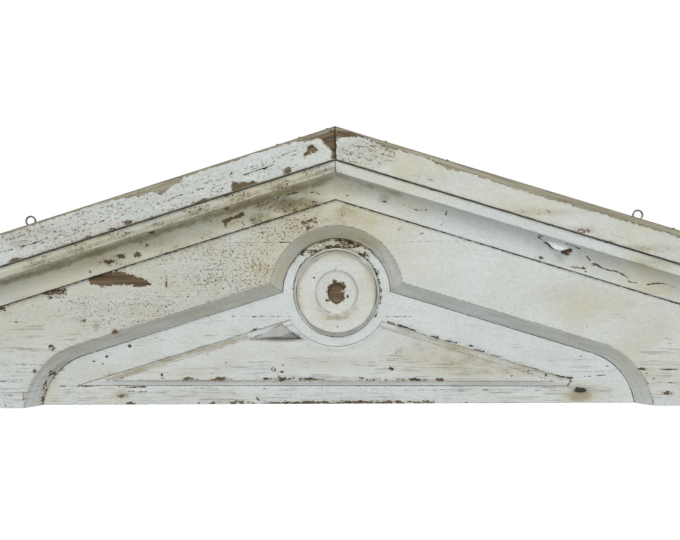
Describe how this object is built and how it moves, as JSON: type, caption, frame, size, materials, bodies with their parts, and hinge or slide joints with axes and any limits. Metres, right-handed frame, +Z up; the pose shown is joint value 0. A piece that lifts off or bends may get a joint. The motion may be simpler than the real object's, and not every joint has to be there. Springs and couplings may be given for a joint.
{
  "type": "window pediment",
  "caption": "Weathered timber window pediment: a raking crown over planks with an arched recess that holds a turned rosette and a raised triangular panel.",
  "frame": {"origin": "on the flat back, behind the centre of the rosette", "axes": "+X to the right as seen from the front, +Y into the wall, +Z up"},
  "size_m": [1.314, 0.0885, 0.4703],
  "materials": {
    "face_paint": "chalky, crazed old white paint over bare brown timber",
    "frame_paint": "cool white paint, thin and grained",
    "field_paint": "cream-white paint with tan dirt in the margins",
    "rosette_paint": "chalky white paint with dirt in the hollows",
    "crown_paint": "flaking white paint, worn to bare wood along its top edge",
    "zinc": "dull zinc plate"
  },
  "bodies": {
    "root": {"face_plank_top": "face_paint", "face_plank_middle_left": "face_paint", "face_plank_middle_right": "face_paint", "face_plank_foot_left": "face_paint", "face_plank_foot_right": "face_paint", "inner_frame_upper": "frame_paint", "inner_frame_lower": "frame_paint", "fielded_panel": "field_paint", "rosette": "rosette_paint", "crown_moulding_left": "crown_paint", "crown_moulding_right": "crown_paint", "cap_left": "crown_paint", "cap_right": "crown_paint", "screw_eye_left": "zinc", "screw_eye_right": "zinc"}
  },
  "joints": []
}
